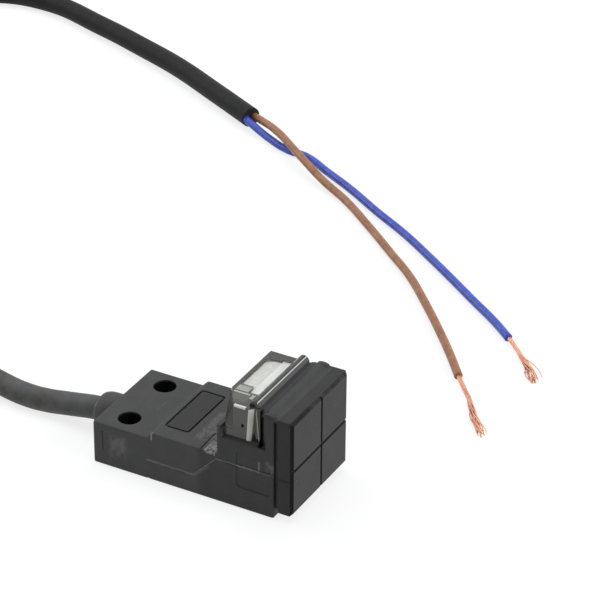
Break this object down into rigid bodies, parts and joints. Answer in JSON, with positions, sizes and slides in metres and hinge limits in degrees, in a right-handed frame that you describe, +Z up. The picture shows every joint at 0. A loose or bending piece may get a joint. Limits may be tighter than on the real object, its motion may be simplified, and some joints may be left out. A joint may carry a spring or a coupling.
{
  "type": "inductive proximity sensor",
  "caption": "Small square-headed inductive proximity sensor with a clear indicator cover, two mounting holes and a two-core cable.",
  "frame": {"origin": "under the middle of the housing, cable boss included, on the surface that it stands on", "axes": "+X from the cable towards the sensing face, +Y towards the plain side, +Z up through the indicator cover"},
  "size_m": [0.1523, 0.1175, 0.0163],
  "materials": {
    "charcoal_plastic": "fine moulded matte",
    "smoky_clear": "clear smoky gloss",
    "white_plastic": "milky satin",
    "board": "solder mask",
    "black_resin": "moulded resin",
    "resistor_black": "glazed film",
    "capacitor_tan": "fired ceramic",
    "orange_lamp": "clear tinted",
    "green_lamp": "clear tinted",
    "ferrite": "ground grey ferrite",
    "bobbin_plastic": "natural moulded",
    "copper": "bright drawn copper",
    "solder": "reflowed",
    "crimp_steel": "plated",
    "cable_jacket": "matte extruded",
    "brown_insulation": "satin extruded",
    "blue_insulation": "satin extruded",
    "tie_plastic": "satin moulded"
  },
  "bodies": {
    "root": {"housing": "charcoal_plastic", "bottom_cover": "charcoal_plastic", "sensing_cap": "charcoal_plastic", "indicator_cover": "smoky_clear", "light_guide": "white_plastic", "circuit_board": "board", "sensor_chip": "black_resin", "output_transistor": "black_resin", "zener_diode": "black_resin", "chip_resistor_1": "resistor_black", "chip_resistor_2": "resistor_black", "chip_capacitor_1": "capacitor_tan", "chip_capacitor_2": "capacitor_tan", "orange_lamp": "orange_lamp", "green_lamp": "green_lamp", "ferrite_core": "ferrite", "coil_bobbin": "bobbin_plastic", "coil_winding": "copper", "coil_lead_1": "copper", "coil_lead_2": "copper", "cable_collar": "crimp_steel", "inner_core_brown": "brown_insulation", "inner_core_blue": "blue_insulation", "solder_brown": "solder", "solder_blue": "solder", "cable_near": "cable_jacket", "cable_coil": "cable_jacket", "coil_tie": "tie_plastic", "cable_far": "cable_jacket", "core_brown": "brown_insulation", "core_blue": "blue_insulation", "strands_brown": "copper", "strands_blue": "copper"}
  },
  "joints": []
}
